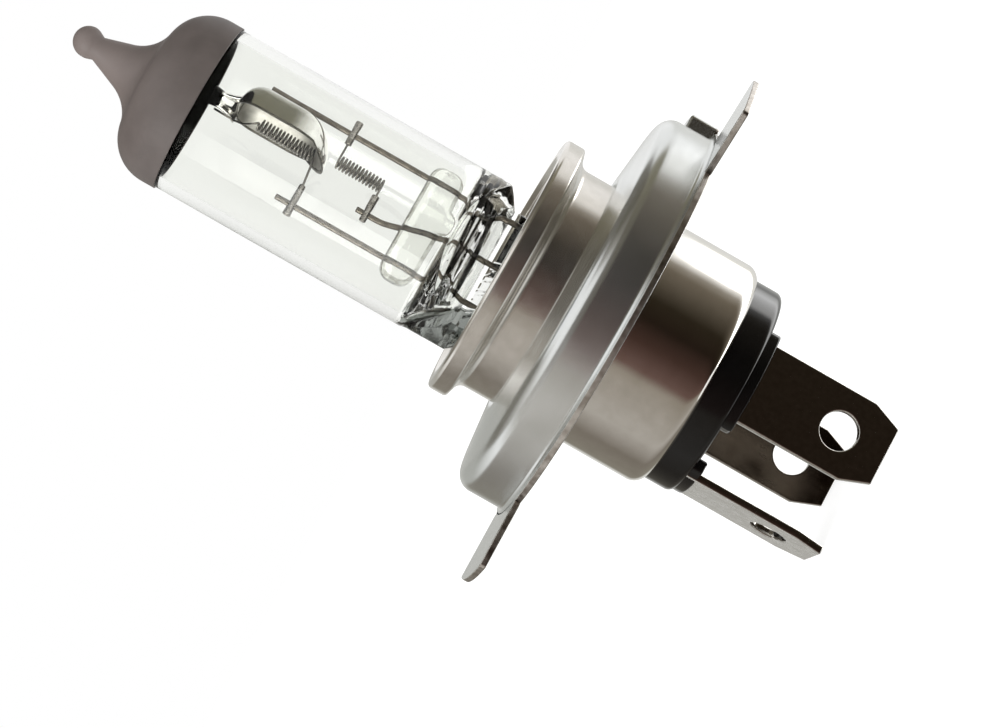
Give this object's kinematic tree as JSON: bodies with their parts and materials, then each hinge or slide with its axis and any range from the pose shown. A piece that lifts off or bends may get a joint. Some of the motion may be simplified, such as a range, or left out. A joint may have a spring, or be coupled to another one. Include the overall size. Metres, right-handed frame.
{
  "type": "headlight bulb",
  "caption": "Halogen headlight bulb: clear glass burner with an opaque tip, coils and a dip shield, on a base with a lugged prefocus ring, polished shells and flat terminal blades.",
  "frame": {"origin": "on the reference axis, in the plane of the lugs' front faces, which seat in the reflector", "axes": "+Z along the reference axis to the glass tip, -X to the wide lug, +X to the index tongue"},
  "size_m": [0.0493, 0.04, 0.0815],
  "materials": {
    "clear_glass": "polished",
    "bridge_glass": "polished",
    "tip_coat": "matt warm grey heat-proof paint",
    "shield_metal": "bright pressed molybdenum",
    "filament": "drawn tungsten wire",
    "lead_wire": "dull molybdenum wire",
    "sleeve_metal": "nickel tube",
    "holder_steel": "bright steel sheet",
    "shell_nickel": "polished nickel plate",
    "ring_steel": "satin stainless sheet",
    "insulator_black": "gloss black thermoset",
    "blade_metal": "tinned sheet"
  },
  "bodies": {
    "root": {"glass_envelope": "clear_glass", "tip_coating": "tip_coat", "dip_shield": "shield_metal", "low_beam_filament": "filament", "high_beam_filament": "filament", "common_lead": "lead_wire", "low_beam_lead": "lead_wire", "high_beam_lead": "lead_wire", "common_sleeve": "sleeve_metal", "low_beam_sleeve": "sleeve_metal", "high_beam_sleeve": "sleeve_metal", "lead_bridge": "bridge_glass", "burner_holder": "holder_steel", "front_collar": "shell_nickel", "prefocus_ring": "ring_steel", "rear_shell": "shell_nickel", "insulator": "insulator_black", "ground_blade": "blade_metal", "low_beam_blade": "blade_metal", "high_beam_blade": "blade_metal"}
  },
  "joints": []
}
